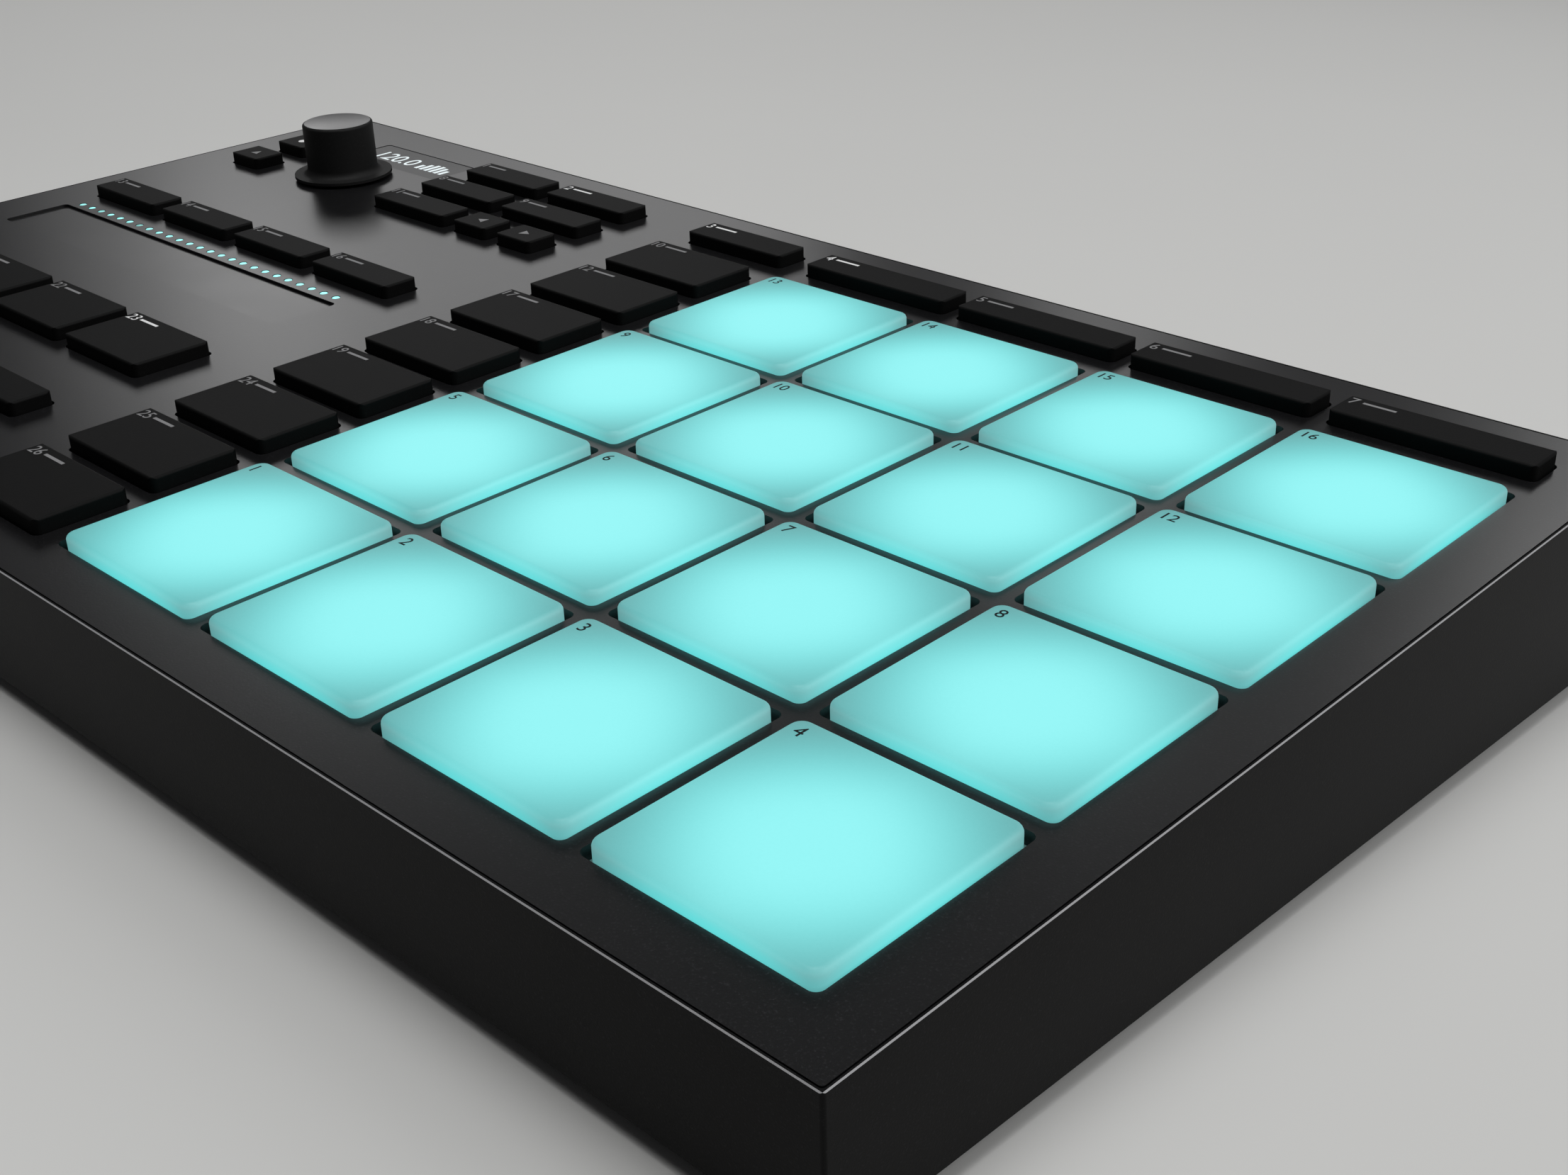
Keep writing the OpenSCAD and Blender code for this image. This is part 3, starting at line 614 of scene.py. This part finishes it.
def knob_disc():
    """A turned disc in the knob's top with a rounded rim."""
    points = panel_points("knob", 0)
    low, high = corners(points[points[:, 2] > points[:, 2].max() - NEAR])
    r = (high[0] - low[0]) / 2
    profile = [(r, 0, 0), (r, 0.02, 0), (r - 0.03, 0.04, 0), (r - 0.1, 0.05, 0)]
    points, faces = skin(turned_rings(profile, 96))
    middle = [(low[0] + high[0]) / 2, (low[1] + high[1]) / 2, high[2]]
    make_piece("knob_disc", on_panel(points + middle), faces, KNOB_ABS, "knob")


knob_disc()

# Lights behind the touch strip, each a low dome on its peg

LIGHT_GLOW = np.array([0.36, 1.1, 1.05])
LIGHT_R = 0.75
LIGHT_FOOT, LIGHT_RIM, LIGHT_RISE = -0.3, -0.12, 0.14
LIGHT_END = np.pi / 2 - 0.2
LIGHT_GAP = 1
LIGHT_LEVELS = (0.8, 1.05)
DIM_LIGHTS = {2: 0.55, 6: 0.35}


def strip_lights():
    """Domes whose profile is a quarter ellipse, brighter to the right, with two dimmer ones."""
    pegs = panel_points("touch_strip", LIGHT_FOOT)
    x, _ = runs(pegs[:, 0], LIGHT_GAP)
    y = (pegs[:, 1].min() + pegs[:, 1].max()) / 2
    quarter = np.linspace(0, LIGHT_END, 4)
    rise = LIGHT_RIM + LIGHT_RISE * np.sin(quarter)
    dome = np.stack([LIGHT_R * np.cos(quarter), rise, 0 * quarter], 1)
    shape = skin(turned_rings(np.concatenate([[(LIGHT_R, LIGHT_FOOT, 0)], dome]), 20))
    points, faces = several(shape, np.stack([x, np.full_like(x, y), 0 * x], 1))
    level = np.linspace(*LIGHT_LEVELS, len(x))
    level[list(DIM_LIGHTS)] = list(DIM_LIGHTS.values())
    piece = make_piece("strip_lights", on_panel(points), faces, LENS, "case")
    give_glow(piece, np.repeat(level, len(shape[0]))[:, None] * LIGHT_GLOW)


strip_lights()

# Readout in the display: a plain number and a row of level bars

PANE_LEVEL = -1.0
READOUT_FIGURE = 4.6
READOUT_INSET = 5.0
READOUT_SPACE = 2.0
READOUT_BAR, READOUT_PITCH = 1.0, 1.7
READOUT_GLOW = np.array([0.62, 0.64, 0.66])
LEVELS = 0.9 + 3.6 * np.sin(np.linspace(0.5, 2.6, 6))


def display_readout():
    """Lit marks on the pane: a number on the left and bars whose heights follow a sine."""
    low, high = corners(panel_points("display", PANE_LEVEL))
    points, faces = figures("120.0", READOUT_FIGURE)
    shapes = [(points, faces)]
    start = points[:, 0].max() + READOUT_SPACE
    for step, level in enumerate(LEVELS):
        bar, bar_faces = stamp([(0, 0), (READOUT_BAR, 0), (READOUT_BAR, level), (0, level)])
        shapes.append((bar + [start + READOUT_PITCH * step, 0, 0], bar_faces))
    points, faces = together(shapes)
    corner = [low[0] + READOUT_INSET, (low[1] + high[1] - READOUT_FIGURE) / 2, high[2]]
    piece = make_piece("display_readout", on_panel(points + corner), faces, LENS, "case")
    give_glow(piece, np.broadcast_to(READOUT_GLOW, (len(points), 3)))


display_readout()

# Cable socket: the nylon core and its four contact springs

CORE_HALF = (2.85, 1.65)
CORE_LENGTH = 4.55
CORE_ROUND, CORE_TIP_ROUND = 0.3, 0.2
CORE_BEVEL = 0.15
SOCKET_DEPTH = 9
CONTACT_HALF = (0.5, 0.06)
CONTACT_ROUND = 0.03
CONTACT_X = 1.25
CONTACT_ENDS = (0.3, 0.5)


def socket_core():
    """Rounded blocks along the socket's depth: their profile's width and height lie across it."""
    low, high = corners(panel_points("usb_socket"))
    middle = np.array([(low[0] + high[0]) / 2, 0, (low[2] + high[2]) / 2])
    back = high[1] - SOCKET_DEPTH
    tip = back + CORE_LENGTH
    turn = np.array([[1, 0, 0], [0, 0, -1], [0, 1, 0]])
    across, up = CORE_HALF
    core = [(across, up, CORE_ROUND, back), (across, up, CORE_ROUND, tip - CORE_BEVEL),
            (across - CORE_BEVEL, up - CORE_BEVEL, CORE_TIP_ROUND, tip)]
    points, faces = skin(rounded_rings(core, 3, 5))
    make_piece("socket_core", on_panel(points @ turn + middle), faces, SOCKET_NYLON, "case")
    spring = [(*CONTACT_HALF, CONTACT_ROUND, back + CONTACT_ENDS[0]),
              (*CONTACT_HALF, CONTACT_ROUND, tip - CONTACT_ENDS[1])]
    points, faces = skin(rounded_rings(spring, 2, 3))
    rise = up + CONTACT_HALF[1] / 2
    spots = [(x * CONTACT_X, 0, z * rise) for x in (-1, 1) for z in (-1, 1)]
    points, faces = several((points @ turn, faces), spots)
    make_piece("socket_contacts", on_panel(points + middle), faces, GOLD_BRASS, "case")


socket_core()

# Underside: feet with a shallow dish, and screws with a cross recess

LEVEL_SPAN_MM = 0.05
ROUND_GAP = 2
CROSS_ARM = 0.45


def node_places(name, level):
    """Middles and widths along x and y of a node's round pieces, from its points near a height
    in metres."""
    points = node_points(name)
    near = points[np.abs(points[:, 2] - level) < LEVEL_SPAN_MM * MM] / MM
    return runs(near[:, 0], ROUND_GAP), runs(near[:, 1], ROUND_GAP)


def foot_pads():
    """Turned feet: a round lower edge and a dished middle that leaves a ring on the desk."""
    (_, _, low), (_, _, high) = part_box("rubber_feet")
    (x, width), (y, _) = node_places("rubber_feet", high)
    r = width[0] / 2
    profile = [(r - 2.6, 0.4, 0), (r - 1.9, 0.1, 0), (r - 1.5, 0, 0), (r - 0.7, 0, 0),
               (r - 0.3, 0.1, 0), (r - 0.08, 0.35, 0), (r, 0.7, 0), (r, (high - low) / MM, 0)]
    points, faces = several(skin(turned_rings(profile)), [(a, b, low / MM) for a in x for b in y])
    piece = make_piece("foot_pads", points * MM, faces, FOOT_RUBBER, "case")
    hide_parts("rubber_feet")


def cross_screws():
    """Turned screws whose head has a cross recess: the cross is the nearer, for each angle, of
    its arms' ends and its arms' sides."""
    (_, _, low), (_, _, high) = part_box("case_screws")
    (x, width), (y, _) = node_places("case_screws", low)
    r, length = width[0] / 2, (high - low) / MM
    steps = 96
    angle = np.linspace(0, 2 * np.pi, steps, endpoint=False) + np.pi / steps
    across = np.sort(np.abs(np.stack([np.cos(angle), np.sin(angle)])), 0)
    cross = np.minimum(1 / across[1], CROSS_ARM / across[0])
    profile = [(0.8, 1.0, 1), (1.35, 0.05, 1), (r - 0.9, 0, 0), (r - 0.3, 0.12, 0), (r, 0.5, 0),
               (r, 1.4, 0), (1.4, 1.4, 0), (1.4, length - 0.8, 0), (0.7, length, 0)]
    shape = skin(turned_rings(profile, steps, cross))
    points, faces = several(shape, [(a, b, low / MM) for a in x for b in y])
    piece = make_piece("cross_screws", points * MM, faces, BLACK_STEEL, "case")
    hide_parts("case_screws")


foot_pads()
cross_screws()

# Camera, floor and lights

EYE = Matrix(((0.7229, -0.3059, 0.6195, 0.24906), (0.6907, 0.2949, -0.6603, -0.19055),
              (0.0193, 0.9052, 0.4245, 0.13485), (0, 0, 0, 1)))
camera = bpy.data.objects.new("camera", bpy.data.cameras.new("camera"))
camera.data.sensor_width = 36
camera.data.lens = 44.65
camera.data.clip_start, camera.data.clip_end = 0.01, 20
camera.matrix_world = EYE
bpy.context.scene.collection.objects.link(camera)
bpy.context.scene.camera = camera

FLOOR = 6
floor_mesh = bpy.data.meshes.new("floor")
floor_corners = [(-FLOOR, -FLOOR, 0), (FLOOR, -FLOOR, 0), (FLOOR, FLOOR, 0), (-FLOOR, FLOOR, 0)]
floor_mesh.from_pydata(floor_corners, [], [(0, 1, 2, 3)])
floor_mesh.materials.append(FLOOR_PAINT)
floor = bpy.data.objects.new("floor", floor_mesh)
bpy.context.scene.collection.objects.link(floor)

LAMP_AIM = Vector((-0.03, 0, 0.03))


def soft_box(name, place, width, height, watts):
    """A rectangular studio lamp that faces the object."""
    lamp = bpy.data.lights.new(name, "AREA")
    lamp.shape, lamp.size, lamp.size_y, lamp.energy = "RECTANGLE", width, height, watts
    holder = bpy.data.objects.new(name, lamp)
    aim = LAMP_AIM - Vector(place)
    holder.rotation_mode = "QUATERNION"
    holder.rotation_quaternion = aim.to_track_quat("-Z", "Y")
    holder.location = place
    holder.visible_camera = False
    bpy.context.scene.collection.objects.link(holder)


soft_box("right_fill", (1.1, 0.5, 0.95), 0.9, 0.9, 8)
soft_box("top_fill", (0.1, -0.15, 1.5), 0.9, 0.9, 12.8)
soft_box("left_sheen", (-0.951, 0.439, 0.442), 0.18, 0.27, 0.124)
soft_box("rear_left_sheen", (-0.838, 0.622, 0.442), 0.46, 0.22, 0.571)
soft_box("rear_sheen", (-0.49, 0.861, 0.537), 0.11, 0.24, 0.171)
soft_box("rear_right_sheen", (-0.144, 0.866, 0.698), 0.08, 0.42, 0.532)

world = bpy.data.worlds.new("studio")
bpy.context.scene.world = world
world.use_nodes = True
world.node_tree.nodes["Background"].inputs["Color"].default_value = (0.06, 0.06, 0.062, 1)

bpy.context.scene.view_settings.view_transform = "Standard"
